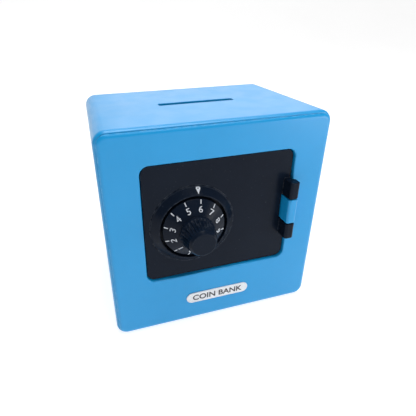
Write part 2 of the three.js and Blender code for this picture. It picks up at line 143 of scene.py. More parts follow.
# ---------------------------------------- outlines
def rounded_path(points, steps=CORNER_STEPS, closed=True):
    """Points of a polygon or path given as (u, v, radius), with its corners rounded."""
    made = []
    count = len(points)
    for i, (u, v, radius) in enumerate(points):
        here = Vector((u, v))
        if radius == 0 or (not closed and i in (0, count - 1)):
            made.append(here)
            continue
        before = (Vector(points[i - 1][:2]) - here).normalized()
        after = (Vector(points[(i + 1) % count][:2]) - here).normalized()
        half = before.angle(after) / 2
        centre = here + (before + after).normalized() * radius / math.sin(half)
        start = here + before * radius / math.tan(half) - centre
        end = here + after * radius / math.tan(half) - centre
        turn = math.atan2(start.cross(end), start.dot(end))
        for step in range(steps + 1):
            made.append(centre + Matrix.Rotation(turn * step / steps, 2) @ start)
    return made


def rectangle(width, height, radius, u=0.0, v=0.0, steps=CORNER_STEPS):
    """A rounded rectangle about (u, v), anticlockwise."""
    signs = ((1, -1), (1, 1), (-1, 1), (-1, -1))
    return rounded_path([(u + a * width / 2, v + b * height / 2, radius) for a, b in signs], steps)


def inset(points, distance):
    """An anticlockwise outline moved inwards."""
    moved = []
    for i, point in enumerate(points):
        back = (point - points[i - 1]).normalized()
        ahead = (points[(i + 1) % len(points)] - point).normalized()
        side = Vector((-back.y - ahead.y, back.x + ahead.x))
        moved.append(point + side * 2 * distance / side.length_squared)
    return moved


def body_outline(gap):
    """The body seen from the front, made smaller by gap on each side."""
    return rectangle(WIDTH - 2 * gap, HEIGHT - 2 * gap, max(CORNER - gap, 1.6), 0, HEIGHT / 2)


def opening_outline(gap):
    """The door opening, made smaller by gap on each side."""
    width, height = OPENING_WIDTH - 2 * gap, OPENING_HEIGHT - 2 * gap
    return rectangle(width, height, OPENING_CORNER - gap / 2, 0, OPENING_Z)


def quarter(radius, outward):
    """(inset, distance from the end) pairs round one edge, from the end face if outward."""
    pairs = []
    for step in range(EDGE_STEPS + 1):
        angle = math.pi / 2 * step / EDGE_STEPS
        pairs.append((radius * (1 - math.sin(angle)), radius * (1 - math.cos(angle))))
    return pairs if outward else pairs[::-1]


# ---------------------------------------- placing outlines in space
def facing(point, depth):
    """A point of an outline drawn in X and Z, at a depth."""
    return (point[0], FRONT + depth, point[1])


def upright(point, height):
    """A point of an outline drawn in X and Y, at a height."""
    return (point[0], point[1], height)


def ring(points, level, place=facing):
    return [place(point, level) for point in points]


# ---------------------------------------- meshes
def piece(name, verts, faces):
    """A mesh object from points in millimetres, its faces turned outwards."""
    mesh = bpy.data.meshes.new(name)
    mesh.from_pydata(verts, [], faces)
    shape = bmesh.new()
    shape.from_mesh(mesh)
    bmesh.ops.recalc_face_normals(shape, faces=shape.faces)
    shape.to_mesh(mesh)
    shape.free()
    made = bpy.data.objects.new(name, mesh)
    bpy.context.scene.collection.objects.link(made)
    return made


def loft(name, rings, closed=False):
    """A skin over rings of equally many points, capped at both ends unless it closes on itself."""
    count = len(rings[0])
    faces = []
    for i in range(len(rings) if closed else len(rings) - 1):
        a, b = i * count, (i + 1) % len(rings) * count
        for k in range(count):
            n = (k + 1) % count
            faces.append((a + k, a + n, b + n, b + k))
    if not closed:
        faces.append(tuple(range(count)))
        faces.append(tuple(range((len(rings) - 1) * count, len(rings) * count)))
    return piece(name, [point for points in rings for point in points], faces)


def prism(name, points, low, high, place=facing, edge=SOFT_EDGE):
    """An outline carried from low to high, with both end edges softened."""
    rings = [ring(inset(points, gap), low + rise, place) for gap, rise in quarter(edge, True)]
    rings += [ring(inset(points, gap), high - rise, place) for gap, rise in quarter(edge, False)]
    return loft(name, rings)


def cutter(points, low, high, place=facing):
    return loft("cutter", [ring(points, low, place), ring(points, high, place)])


def lathe(name, profile, centre=DIAL, segments=ROUND, closed=False, radius_at=None):
    """A round piece about an axis from front to back. profile holds (radius, depth) points."""
    verts, faces, rows = [], [], []
    for radius, depth in profile:
        count = segments if radius > 1e-6 else 1
        rows.append(range(len(verts), len(verts) + count))
        for k in range(count):
            angle = 2 * math.pi * k / segments
            r = radius_at(radius, depth, angle) if radius_at else radius
            verts.append((centre.x + r * math.sin(angle), FRONT + depth, centre.z + r * math.cos(angle)))
    for a, b in zip(rows, rows[1:] + rows[:1] if closed else rows[1:]):
        for k in range(segments):
            n = (k + 1) % segments
            square = (a[k % len(a)], a[n % len(a)], b[n % len(b)], b[k % len(b)])
            face = tuple(dict.fromkeys(square))
            if len(face) > 2:
                faces.append(face)
    return piece(name, verts, faces)


def rod(radius, low, high, centre=DIAL, edge=SOFT_EDGE, segments=48):
    """A round bar from front to back, with softened ends."""
    profile = [(0, low, 0), (radius, low, edge), (radius, high, edge), (0, high, 0)]
    return lathe("rod", rounded_path(profile, EDGE_STEPS, False), centre, segments)


def drill(radius, low, high, centre=DIAL, mouth=0.25, segments=48):
    """A cutter for a hole from low to high, flared where it breaks through either face."""
    wide = radius + mouth + 0.5
    profile = [(0, low - 0.5), (wide, low - 0.5), (radius, low + mouth)]
    profile += [(radius, high - mouth), (wide, high + 0.5), (0, high + 0.5)]
    return lathe("cutter", profile, centre, segments)


def circle(u, v, radius, steps=40):
    centre, spoke = Vector((u, v)), Vector((radius, 0))
    return [centre + spoke @ Matrix.Rotation(-math.tau * k / steps, 2) for k in range(steps)]


def pin_drill():
    """The cutter for the hinge pin's bore, which is closed at the top."""
    top = corners("hinge_pin")[1].z + FIT
    return cutter(circle(HINGE.x, HINGE.y, PIN_BORE), HINGE.z - 40, top, upright)


def together(pieces):
    """Several pieces that don't touch, as one mesh object."""
    first = pieces[0]
    shape = bmesh.new()
    for one in pieces:
        shape.from_mesh(one.data)
    shape.to_mesh(first.data)
    shape.free()
    for one in pieces[1:]:
        bpy.data.objects.remove(one)
    return first


def combine(target, tool, operation):
    """Applies a boolean to target and removes the tool."""
    modifier = target.modifiers.new("combine", "BOOLEAN")
    modifier.operation = operation
    modifier.solver = "MANIFOLD"
    modifier.object = tool
    graph = bpy.context.evaluated_depsgraph_get()
    made = bpy.data.meshes.new_from_object(target.evaluated_get(graph))
    target.modifiers.clear()
    target.data = made
    bpy.data.objects.remove(tool)
    return target


def union(target, *tools):
    for tool in tools:
        combine(target, tool, "UNION")
    return target


def cut(target, *tools):
    for tool in tools:
        combine(target, tool, "DIFFERENCE")
    return target


# ---------------------------------------- material nodes
def new_material(name):
    """A material, its node tree and its principled shader."""
    material = bpy.data.materials.new(name)
    material.use_nodes = True
    return material, material.node_tree, material.node_tree.nodes["Principled BSDF"]


def node(tree, kind, settings=None, **links):
    """A node with its inputs set by name, from a number, a colour or another node's output."""
    made = tree.nodes.new(kind)
    for key, value in (settings or {}).items():
        setattr(made, key, value)
    for key, value in links.items():
        feed(tree, made.inputs[key.replace("_", " ")], value)
    return made


def feed(tree, socket, value):
    if isinstance(value, bpy.types.NodeSocket):
        tree.links.new(value, socket)
    else:
        socket.default_value = value


def noise(tree, scale, detail=3.0, stretch=(1, 1, 1)):
    """A noise pattern fixed to the piece, with scale in features per metre."""
    place = node(tree, "ShaderNodeTexCoord").outputs["Object"]
    mapped = node(tree, "ShaderNodeMapping", Vector=place, Scale=stretch)
    made = node(tree, "ShaderNodeTexNoise", Vector=mapped.outputs[0], Scale=scale, Detail=detail)
    return made.outputs["Fac"]


def remap(tree, value, low, high, to_low, to_high):
    """value from the range low..high to the range to_low..to_high, held inside it."""
    made = node(tree, "ShaderNodeMapRange", Value=value)
    made.inputs["From Min"].default_value = low
    made.inputs["From Max"].default_value = high
    made.inputs["To Min"].default_value = to_low
    made.inputs["To Max"].default_value = to_high
    return made.outputs[0]


def maths(tree, operation, a, b):
    made = tree.nodes.new("ShaderNodeMath")
    made.operation = operation
    made.use_clamp = True
    feed(tree, made.inputs[0], a)
    feed(tree, made.inputs[1], b)
    return made.outputs[0]


def blend(tree, share, first, second):
    """A colour between two others."""
    made = tree.nodes.new("ShaderNodeMix")
    made.data_type = "RGBA"
    feed(tree, made.inputs["Factor"], share)
    feed(tree, made.inputs["A"], first)
    feed(tree, made.inputs["B"], second)
    return made.outputs["Result"]


def worn_edges(tree, radius):
    """1 on sharp outer edges, fading to 0 on flat faces, broken up by a noise."""
    soft = node(tree, "ShaderNodeBevel", {"samples": 4}, Radius=radius).outputs[0]
    true = node(tree, "ShaderNodeNewGeometry").outputs["Normal"]
    product = node(tree, "ShaderNodeVectorMath", {"operation": "DOT_PRODUCT"})
    feed(tree, product.inputs[0], soft)
    feed(tree, product.inputs[1], true)
    edge = remap(tree, product.outputs["Value"], 0.98, 0.75, 0.0, 1.0)
    return maths(tree, "MULTIPLY", edge, remap(tree, noise(tree, 420, 4), 0.42, 0.66, 0.0, 1.0))


def bumped(tree, shader, layers):
    """Feeds the shader's normal from (height, strength, distance in metres) layers."""
    normal = None
    for height, strength, distance in layers:
        made = node(tree, "ShaderNodeBump", Height=height, Strength=strength, Distance=distance)
        if normal:
            tree.links.new(normal, made.inputs["Normal"])
        normal = made.outputs[0]
    tree.links.new(normal, shader.inputs["Normal"])


def rgb(red, green, blue):
    return (red, green, blue, 1.0)


def moulded_plastic(name, colours, roughness, specular, grain):
    """Moulded plastic: clouded colour, scuffed edges that also carry a painted highlight, dust, a fine
    texture and orange peel.
    """
    material, tree, shader = new_material(name)
    main, deep, pale = (rgb(*colour) for colour in colours)
    clouds = remap(tree, noise(tree, 38, 4), 0.3, 0.7, 0.0, 1.0)
    mottle = remap(tree, noise(tree, 260, 3), 0.35, 0.7, 0.0, 0.35)
    colour = blend(tree, clouds, main, deep)
    colour = blend(tree, mottle, colour, main)
    # sharp edges, lightened below partly as wear and partly as a painted highlight along the rims
    wear_and_highlight = worn_edges(tree, 0.0009)
    dust = remap(tree, noise(tree, 950, 2), 0.68, 0.78, 0.0, 0.10)
    marks_and_highlight = maths(tree, "ADD", maths(tree, "MULTIPLY", wear_and_highlight, 0.55), dust)
    # painted highlight: the pale colour goes on dust and on sharp edges, where it is partly wear and
    # partly a painted highlight
    feed(tree, shader.inputs["Base Color"], blend(tree, marks_and_highlight, colour, pale))
    scratches = remap(tree, noise(tree, 90, 5, (1, 1, 14)), 0.4, 0.62, -0.02, 0.04)
    rough = maths(tree, "ADD", scratches, roughness)
    rough = maths(tree, "ADD", rough, maths(tree, "MULTIPLY", marks_and_highlight, 0.3))
    feed(tree, shader.inputs["Roughness"], rough)
    shader.inputs["Specular IOR Level"].default_value = specular
    bumped(tree, shader, [
        (noise(tree, 210, 2), 0.10, 0.00006),
        (noise(tree, 1900, 2), grain, 0.00003),
    ])
    return material


def steel():
    """Zinc plated steel: blotched plating over fine brushing."""
    material, tree, shader = new_material("steel")
    shader.inputs["Metallic"].default_value = 1.0
    blotches = remap(tree, noise(tree, 320, 4), 0.35, 0.65, 0.0, 1.0)
    plated = blend(tree, blotches, rgb(0.62, 0.63, 0.63), rgb(0.50, 0.49, 0.46))
    stained = maths(tree, "MULTIPLY", worn_edges(tree, 0.0004), 0.5)
    feed(tree, shader.inputs["Base Color"], blend(tree, stained, plated, rgb(0.28, 0.26, 0.23)))
    feed(tree, shader.inputs["Roughness"], remap(tree, noise(tree, 700, 3), 0.3, 0.7, 0.24, 0.42))
    bumped(tree, shader, [(noise(tree, 900, 2, (1, 6, 1)), 0.3, 0.00002)])
    return material


def silver_label():
    """A silvered sticker: fine sparkle, a little dirt and handling wear."""
    material, tree, shader = new_material("silver_label")
    shader.inputs["Metallic"].default_value = 0.25
    sparkle = remap(tree, noise(tree, 2600, 2), 0.35, 0.65, 0.0, 1.0)
    foil = blend(tree, sparkle, rgb(0.74, 0.76, 0.80), rgb(0.86, 0.87, 0.90))
    dirt = remap(tree, noise(tree, 190, 5), 0.56, 0.75, 0.0, 0.25)
    feed(tree, shader.inputs["Base Color"], blend(tree, dirt, foil, rgb(0.50, 0.50, 0.52)))
    feed(tree, shader.inputs["Roughness"], remap(tree, noise(tree, 300, 4), 0.3, 0.7, 0.3, 0.45))
    bumped(tree, shader, [(noise(tree, 800, 2), 0.3, 0.00002)])
    return material


def print_ink(name, ink, faded, roughness):
    """A printed ink, thin in places."""
    material, tree, shader = new_material(name)
    thin = remap(tree, noise(tree, 1500, 4), 0.45, 0.7, 0.0, 0.7)
    feed(tree, shader.inputs["Base Color"], blend(tree, thin, ink, faded))
    rough = remap(tree, noise(tree, 600, 3), 0.3, 0.7, roughness, roughness + 0.12)
    feed(tree, shader.inputs["Roughness"], rough)
    bumped(tree, shader, [(noise(tree, 2500, 2), 0.3, 0.00002)])
    return material


# the main, deep and pale colour of each plastic; the pale colour goes on dust and on sharp edges, where it
# is partly wear and partly a painted highlight
BLUE = (0.005, 0.335, 0.74), (0.003, 0.315, 0.70), (0.22, 0.60, 0.92)
# the black's pale edge colour is set well above wear, as a painted highlight on its rims
BLACK = (0.0055, 0.0105, 0.0215), (0.0045, 0.0085, 0.0180), (0.15, 0.17, 0.20)
IVORY = (0.68, 0.64, 0.53), (0.60, 0.56, 0.45), (0.80, 0.77, 0.68)
GREY = (0.26, 0.28, 0.31), (0.20, 0.22, 0.25), (0.45, 0.46, 0.48)
MATERIALS = {
    "blue_plastic": moulded_plastic("blue_plastic", BLUE, roughness=0.30, specular=0.5, grain=0.4),
    "black_plastic": moulded_plastic("black_plastic", BLACK, roughness=0.22, specular=0.09, grain=0.5),
    "ivory_plastic": moulded_plastic("ivory_plastic", IVORY, roughness=0.45, specular=0.5, grain=0.5),
    "grey_plastic": moulded_plastic("grey_plastic", GREY, roughness=0.45, specular=0.5, grain=0.5),
    "steel": steel(),
    "silver_label": silver_label(),
}
WHITE_INK = print_ink("white_ink", rgb(0.66, 0.70, 0.76), rgb(0.42, 0.45, 0.50), 0.45)
DARK_INK = print_ink("dark_ink", rgb(0.030, 0.030, 0.040), rgb(0.10, 0.10, 0.12), 0.4)


# ---------------------------------------- finishing a piece
def finished(made, name, body, slot, *nodes, material=None):
    """Names a piece, sets its size in metres, its shading and its finish, and hands it to a body."""
    made.name = name
    made.data.name = name
    made.data.transform(Matrix.Scale(MM, 4))
    made.data.polygons.foreach_set("use_smooth", [True] * len(made.data.polygons))
    made.data.set_sharp_from_angle(angle=math.radians(32))
    weighted = made.modifiers.new("weighted", "WEIGHTED_NORMAL")
    weighted.keep_sharp = True
    made.data.materials.clear()
    made.data.materials.append(material or MATERIALS[slot])
    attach(made, body)
    if nodes:
        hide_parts(*nodes)
    return made


# ---------------------------------------- body mouldings
def screw_centre(node_name):
    low, high = corners(node_name)
    return (low + high) / 2


CASE_SCREWS = [f"case_screw_{i}" for i in range(1, 5)]
COVER_SCREWS = [f"cover_screw_{i}" for i in range(1, 5)]
LATCH_SCREWS = [f"latch_screw_{i}" for i in range(1, 3)]


def front_fillet(start, end, steps=8):
    """(inset, depth) pairs round the front fillet, from one depth to another."""
    first, last = (math.asin(1 - depth / FRONT_FILLET) for depth in (start, end))
    angles = [first + (last - first) * step / steps for step in range(steps + 1)]
    return [(FRONT_FILLET * (1 - math.cos(a)), FRONT_FILLET * (1 - math.sin(a))) for a in angles]


def front_moulding():
    """One closed skin from the rim round the front face and the opening to the tongue behind."""
    rim_gap = front_fillet(RIM_DEPTH, 0)[0][0]
    sections = [(rim_gap + SEAM_EDGE, RIM_DEPTH)] + front_fillet(RIM_DEPTH - SEAM_EDGE, 0)
    rings = [ring(body_outline(gap), depth) for gap, depth in sections]
    for step in range(EDGE_STEPS + 1):
        angle = math.pi / 2 * step / EDGE_STEPS
        gap = -OPENING_EDGE * (1 - math.sin(angle))
        rings.append(ring(opening_outline(gap), OPENING_EDGE * (1 - math.cos(angle))))
    rings += [
        ring(opening_outline(0), LIP_FRONT),
        ring(opening_outline(LIP_INSET - SOFT_EDGE), LIP_FRONT),
        ring(opening_outline(LIP_INSET), LIP_FRONT + SOFT_EDGE),
        ring(opening_outline(LIP_INSET), LIP_BACK - SOFT_EDGE),
        ring(opening_outline(LIP_INSET - SOFT_EDGE), LIP_BACK),
        ring(opening_outline(-SURROUND_WALL), LIP_BACK),
        ring(opening_outline(-SURROUND_WALL), PLATE),
        ring(body_outline(WALL + FIT + TONGUE_WALL), PLATE),
        ring(body_outline(WALL + FIT + TONGUE_WALL), TONGUE_BACK),
        ring(body_outline(WALL + FIT), TONGUE_BACK),
        ring(body_outline(WALL + FIT), RIM_DEPTH),
    ]
    made = loft("front", rings, closed=True)
    boss_end = DEPTH - SCREW_SEAT - SEAT_THICK - FIT
    centres = [screw_centre(name) for name in CASE_SCREWS]
    added = [rod(BOSS_RADIUS, PLATE - 0.5, boss_end, centre) for centre in centres]
    added.append(case_knuckle())
    union(made, together(added))
    removed = [drill(BOSS_PILOT, DEPTH - 24, boss_end, centre) for centre in centres]
    removed.append(pin_drill())
    return cut(made, together(removed))


def case_knuckle():
    """The middle knuckle, which the case holds between the door's two."""
    length = LIP_FRONT + KNUCKLE_ROOT - HINGE_FRONT
    middle = FRONT + HINGE_FRONT + length / 2
    points = rectangle(2 * HINGE_HALF, length, HINGE_CORNER, HINGE.x, middle)
    low, high = HINGE.z - KNUCKLE_SPLIT, HINGE.z + KNUCKLE_SPLIT
    return prism("knuckle", points, low, high, upright, KNUCKLE_EDGE)


def cup(name, outline, wall, mouth, back, fillet, steps):
    """A thin box open towards the front, with a filleted back. outline(gap) gives its sections.

    mouth holds (inset, depth) pairs from the inner edge of the open end to the outer wall.
    """
    rings = [ring(outline(wall), back - wall), ring(outline(wall), mouth[0][1])]
    rings += [ring(outline(gap), depth) for gap, depth in mouth]
    for step in range(steps + 1):
        angle = math.pi / 2 * step / steps
        rings.append(ring(outline(fillet * (1 - math.cos(angle))), back - fillet * (1 - math.sin(angle))))
    return loft(name, rings)


def shell_moulding():
    """The box behind the seam, with screw tubes, their wells and the coin slot."""
    start = RIM_DEPTH + SEAM
    start_gap = front_fillet(start, 0)[0][0]
    mouth = [(start_gap + SEAM_EDGE, start)] + front_fillet(start + SEAM_EDGE, FRONT_FILLET)
    made = cup("shell", body_outline, WALL, mouth, DEPTH, REAR_FILLET, 8)
    centres = [screw_centre(name) for name in CASE_SCREWS]
    tube_front = DEPTH - SCREW_SEAT - SEAT_THICK
    tubes = [rod(TUBE_RADIUS, tube_front, DEPTH - WALL / 2, centre) for centre in centres]
    union(made, together(tubes))
    wells = [well_cutter(centre, tube_front) for centre in centres]
    return cut(made, slot_cutter(), together(wells))


def well_cutter(centre, tube_front):
    """The cutter for a case screw's hole and the well that its head sits in."""
    seat = DEPTH - SCREW_SEAT
    flare, past = 0.4, 0.5
    profile = [
        (0, tube_front - 1),
        (TUBE_HOLE, tube_front - 1),
        (TUBE_HOLE, seat),
        (WELL_RADIUS, seat),
        (WELL_RADIUS, DEPTH - flare),
        (WELL_RADIUS + past + flare, DEPTH + past),
        (0, DEPTH + past),
    ]
    return lathe("cutter", profile, centre, 48)


def slot_cutter():
    """The cutter for the coin slot, flared to soften its upper edge."""
    points = rectangle(SLOT_LENGTH, SLOT_WIDTH, 0.8, 0, SLOT_Y)
    mouth = 0.35
    levels = [
        (0, HEIGHT - 6),
        (0, HEIGHT - mouth),
        (-0.12, HEIGHT - 0.1),
        (-mouth, HEIGHT + 0.04),
        (-mouth, HEIGHT + 2),
    ]
    return loft("cutter", [ring(inset(points, gap), level, upright) for gap, level in levels])


# ---------------------------------------- door
def door_moulding():
    """The plate, the raised collar round the dial, the hub and bosses behind, and two knuckles."""
    made = prism("door", door_outline(), DOOR_FACE, DOOR_BACK, edge=MOULD_EDGE)
    cut(made, lathe("cutter", [(0, -1), (SEAT_HOLE, -1), (SEAT_HOLE, 9), (0, 9)]))
    ears = [screw_centre(name) for name in COVER_SCREWS]
    added = [rod(DOOR_BOSS, DOOR_BACK - 1, EAR_FRONT - FIT, centre) for centre in ears]
    added += [door_knuckle(side) for side in (-1, 1)]
    union(made, together(added), dial_seat())
    removed = [drill(SMALL_HOLE, 4, EAR_FRONT - FIT, centre) for centre in ears]
    latch = [screw_centre(name) for name in LATCH_SCREWS]
    removed += [drill(SMALL_HOLE, 3.9, DOOR_BACK, centre) for centre in latch]
    return cut(made, pin_drill(), together(removed))


def door_outline():
    """The door's outline, with a notch at the hinge side for the case's knuckle."""
    right = OPENING_WIDTH / 2 - DOOR_GAP
    up = OPENING_HEIGHT / 2 - DOOR_GAP
    radius = OPENING_CORNER - DOOR_GAP
    notch = HINGE.x - HINGE_HALF - 0.4
    half = KNUCKLE_SPLIT + KNUCKLE_CLEAR + LAP
    return rounded_path([
        (right, OPENING_Z - up, radius),
        (right, HINGE.z - half, 0.4),
        (notch, HINGE.z - half, 0.5),
        (notch, HINGE.z + half, 0.5),
        (right, HINGE.z + half, 0.4),
        (right, OPENING_Z + up, radius),
        (-right, OPENING_Z + up, radius),
        (-right, OPENING_Z - up, radius),
    ])


def dial_seat():
    """The round middle of the door: the raised collar, the well's floor and the bored hub."""
    below = DOOR_FACE + 1.0
    bead_top = DOOR_FACE - RING_BEAD
    profile = [
        (STEM_BORE, WELL_FLOOR, 0.2),
        (RING_INNER, WELL_FLOOR, 0.3),
        (RING_INNER, RING_TOP + 0.1, 0.2),
        (RING_CREST, RING_TOP, 0.35),
        (RING_OUTER - RING_BEAD, bead_top, 0.2),
        (RING_OUTER, bead_top, 0.4),
        (RING_OUTER + 0.15, below, 0),
        (SEAT_HOLE + 0.4, below, 0),
        (SEAT_HOLE + 0.4, DOOR_BACK - LAP, 0),
        (HUB_RADIUS, DOOR_BACK - LAP, 0.2),
        (HUB_RADIUS, HUB_BACK, 0.3),
        (STEM_BORE, HUB_BACK, 0.3),
    ]
    return lathe("seat", rounded_path(profile, 4), closed=True, segments=144)


def door_knuckle(side):
    """A knuckle that reaches over the case's face, its rear corner cut off to clear the case."""
    right = OPENING_WIDTH / 2 - DOOR_GAP
    near, far = HINGE.x - HINGE_HALF, HINGE.x + HINGE_HALF
    lift, chamfer = FRONT - KNUCKLE_LIFT, 0.9
    points = rounded_path([
        (near, FRONT + HINGE_FRONT, HINGE_CORNER),
        (far, FRONT + HINGE_FRONT, HINGE_CORNER),
        (far, lift - chamfer, 0.65),
        (far - chamfer, lift, 0.65),
        (right - LAP, lift, 0.1),
        (right - LAP, FRONT + DOOR_BACK - 1.2, 0.65),
        (near, FRONT + DOOR_BACK - 1.2, 0.65),
    ])
    start = HINGE.z + side * (KNUCKLE_SPLIT + KNUCKLE_CLEAR)
    end = HINGE.z + side * KNUCKLE_END
    return prism("knuckle", points, min(start, end), max(start, end), upright, KNUCKLE_EDGE)


# ---------------------------------------- dial and knob
def cone_depth(radius):
    return RIM_LEVEL - CONE_SLOPE * (RIM_RADIUS - radius)


def dial_moulding():
    """The cone that carries the numbers, with the knob's spigot and the stem to the wheels."""
    underside = WELL_FLOOR - FIT - 0.1
    profile = [
        (0, SPIGOT_FRONT, 0),
        (SPIGOT_RADIUS, SPIGOT_FRONT, 0.3),
        (SPIGOT_RADIUS, KNOB_FOOT, 0.2),
        (KNOB_RADIUS - 0.6, KNOB_FOOT, 0.2),
        (RIM_RADIUS, RIM_LEVEL, 0.5),
        (RIM_RADIUS, RIM_LEVEL + 1.2, 0.2),
        (RIM_RADIUS - 0.6, underside, 0.3),
        (STEM_RADIUS, underside, 0.3),
        (STEM_RADIUS, STEM_END, 0.3),
        (0, STEM_END, 0),
    ]
    made = lathe("dial", rounded_path(profile, 4, False), segments=144)
    flats = []
    for side in (-1, 1):
        middle = DIAL.x + side * (STEM_FLAT + 2)
        flats.append(cutter(rectangle(4, 12, 0.1, middle, DIAL.z, 1), 12.8, 20))
    mouth = STEM_END + 0.4
    bore = [(0, 6), (STEM_PILOT, 6.6), (STEM_PILOT, STEM_END - 0.2), (STEM_PILOT + 0.6, mouth), (0, mouth)]
    return cut(made, together(flats), lathe("cutter", bore))


def knob_moulding():
    """A tapered knob: smooth foot, fluted side, chamfered flat cap, and a socket behind."""
    foot = cone_depth(KNOB_RADIUS) - FIT
    skirt_top, flute_top = foot - 1.3, CAP_LEVEL + 2.6
    taper = (KNOB_RADIUS - CAP_RADIUS - 0.5) / (skirt_top - CAP_LEVEL)

    def side_radius(depth):
        return CAP_RADIUS + 0.3 + taper * (depth - CAP_LEVEL)

    def fluted(radius, depth, angle):
        inside = min(skirt_top - depth, depth - flute_top + 1.2)
        share = max(0.0, min(1.0, inside / 0.8)) if radius > CAP_RADIUS - 0.5 else 0.0
        return radius - FLUTE_DEPTH / 2 * share * (1 - math.cos(FLUTES * angle))

    profile = [
        (0, foot + 0.1, 0),
        (KNOB_RADIUS, foot + 0.1, 0.2),
        (KNOB_RADIUS, foot - 0.9, 0.35),
        (side_radius(skirt_top) + 0.1, skirt_top, 0.2),
    ]
    rows = 8
    for row in range(1, rows):
        depth = skirt_top + (flute_top - skirt_top) * row / rows
        profile.append((side_radius(depth), depth, 0))
    profile += [
        (side_radius(CAP_LEVEL + 1.3), CAP_LEVEL + 1.3, 0.5),
        (CAP_RADIUS - 0.45, CAP_LEVEL, 0.35),
        (CAP_RADIUS - 1.2, CAP_LEVEL, 0),
        (0, CAP_LEVEL, 0),
    ]
    made = lathe("knob", rounded_path(profile, 5, False), segments=FLUTES * 8, radius_at=fluted)
    bottom, bore = SPIGOT_FRONT - FIT, SPIGOT_RADIUS + FIT
    return cut(made, lathe("cutter", [(0, bottom), (bore, bottom), (bore, 0), (0, 0)]))


# ---------------------------------------- printed marks
INK_HALF = 0.06                 # half the thickness of a printed mark, part of it sunk in
NUMBERS = 12
ZERO_ANGLE = math.radians(-168.07)
DIGIT_FOOT, DIGIT_HEIGHT, DIGIT_WIDTH_SHARE = 10.05, 3.0, 0.98
TICK_INNER, TICK_OUTER, TICK_WIDTH = 13.35, 15.05, 0.46
ARROW_ANGLE = math.radians(7)
ARROW_TIP, ARROW_LENGTH, ARROW_HEAD, ARROW_EYE = 17.6, 3.7, 0.95, 0.3


def wrapped(mesh, angle, radius, level, slope):
    """Lays a flat mesh, drawn in X and Y about its own origin, on a cone round the dial's axis.

    slope is how much deeper the cone gets for each millimetre of radius. Y points outwards.
    """
    long = math.sqrt(1 + slope * slope)
    for vertex in mesh.vertices:
        u, v, w = vertex.co
        r = radius + (v + w * slope) / long
        depth = level + (slope * v - w) / long
        turn = angle + u / radius
        vertex.co = (DIAL.x + r * math.sin(turn), FRONT + depth, DIAL.z + r * math.cos(turn))


def mesh_of_curve(curve):
    holder = bpy.data.objects.new("drawing", curve)
    bpy.context.scene.collection.objects.link(holder)
    graph = bpy.context.evaluated_depsgraph_get()
    mesh = bpy.data.meshes.new_from_object(holder.evaluated_get(graph))
    bpy.data.objects.remove(holder)
    return mesh


def lettering(text, height, width_share=1.0, weight=0.0):
    """Plain sans lettering as a thin solid, standing on y = 0 and centred on x = 0.

    weight widens its strokes, or thins them if negative.
    """
    curve = bpy.data.curves.new("text", "FONT")
    curve.body = text
    curve.offset = weight
    curve.resolution_u = 6
    curve.extrude = INK_HALF
    mesh = mesh_of_curve(curve)
    xs = [v.co.x for v in mesh.vertices]
    ys = [v.co.y for v in mesh.vertices]
    scale = height / (max(ys) - min(ys))
    middle = (max(xs) + min(xs)) / 2
    low = min(ys)
    for vertex in mesh.vertices:
        x, y, z = vertex.co
        vertex.co = ((x - middle) * scale * width_share, (y - low) * scale, z + INK_HALF / 3)
    return mesh


def flat_mark(loops):
    """A thin solid from closed loops of points, a second loop being a hole in the first."""
    curve = bpy.data.curves.new("mark", "CURVE")
    curve.dimensions = "2D"
    curve.fill_mode = "BOTH"
    curve.extrude = INK_HALF
    for loop in loops:
        line = curve.splines.new("POLY")
        line.points.add(len(loop) - 1)
        line.use_cyclic_u = True
        for point, (x, y) in zip(line.points, loop):
            point.co = (x, y, INK_HALF / 3, 1)
    return mesh_of_curve(curve)


def joined(name, meshes):
    """Several meshes as one object."""
    shape = bmesh.new()
    for mesh in meshes:
        shape.from_mesh(mesh)
        bpy.data.meshes.remove(mesh)
    bmesh.ops.remove_doubles(shape, verts=shape.verts, dist=1e-4)
    bmesh.ops.recalc_face_normals(shape, faces=shape.faces)
    made = bpy.data.meshes.new(name)
    shape.to_mesh(made)
    shape.free()
    holder = bpy.data.objects.new(name, made)
    bpy.context.scene.collection.objects.link(holder)
    return holder


def dial_numbers():
    """Twelve numbers round the cone, each with a tick at the rim."""
    long = math.sqrt(1 + CONE_SLOPE ** 2)
    tick_length = (TICK_OUTER - TICK_INNER) * long
    half = TICK_WIDTH / 2
    marks_and_highlight = []
    for number in range(NUMBERS):
        angle = ZERO_ANGLE + math.tau * number / NUMBERS
        digits = lettering(str(number), DIGIT_HEIGHT, DIGIT_WIDTH_SHARE)
        wrapped(digits, angle, DIGIT_FOOT, cone_depth(DIGIT_FOOT), CONE_SLOPE)
        tick = flat_mark([[(-half, 0), (half, 0), (half, tick_length), (-half, tick_length)]])
        wrapped(tick, angle, TICK_INNER, cone_depth(TICK_INNER), CONE_SLOPE)
        marks_and_highlight += [digits, tick]
    return joined("dial_numbers", marks_and_highlight)


def dial_pointer():
    """A white drop on the collar, pointing at the dial, with a small eye in its head."""
    centre = ARROW_LENGTH - ARROW_HEAD
    side = math.acos(ARROW_HEAD / centre)
    steps = 20
    drop = [(0.0, 0.0)]
    for step in range(steps + 1):
        angle = -math.pi / 2 + side + (math.tau - 2 * side) * step / steps
        drop.append((ARROW_HEAD * math.cos(angle), centre + ARROW_HEAD * math.sin(angle)))
    eye = []
    for step in range(12):
        angle = math.tau * step / 12
        eye.append((ARROW_EYE * math.cos(angle), centre + ARROW_EYE * math.sin(angle)))
    mark = flat_mark([drop, eye])
    level = RING_TOP + RING_SLOPE * (ARROW_TIP - RING_CREST)
    wrapped(mark, ARROW_ANGLE, ARROW_TIP, level, RING_SLOPE)
    return joined("dial_pointer", [mark])


# ---------------------------------------- label
LABEL_LOW, LABEL_HIGH = corners("name_label")
LABEL_CENTRE = (LABEL_LOW + LABEL_HIGH) / 2
LABEL_FIELD = 0.08              # how far the flat field is behind the rim
CAPTION_HEIGHT = 3.5


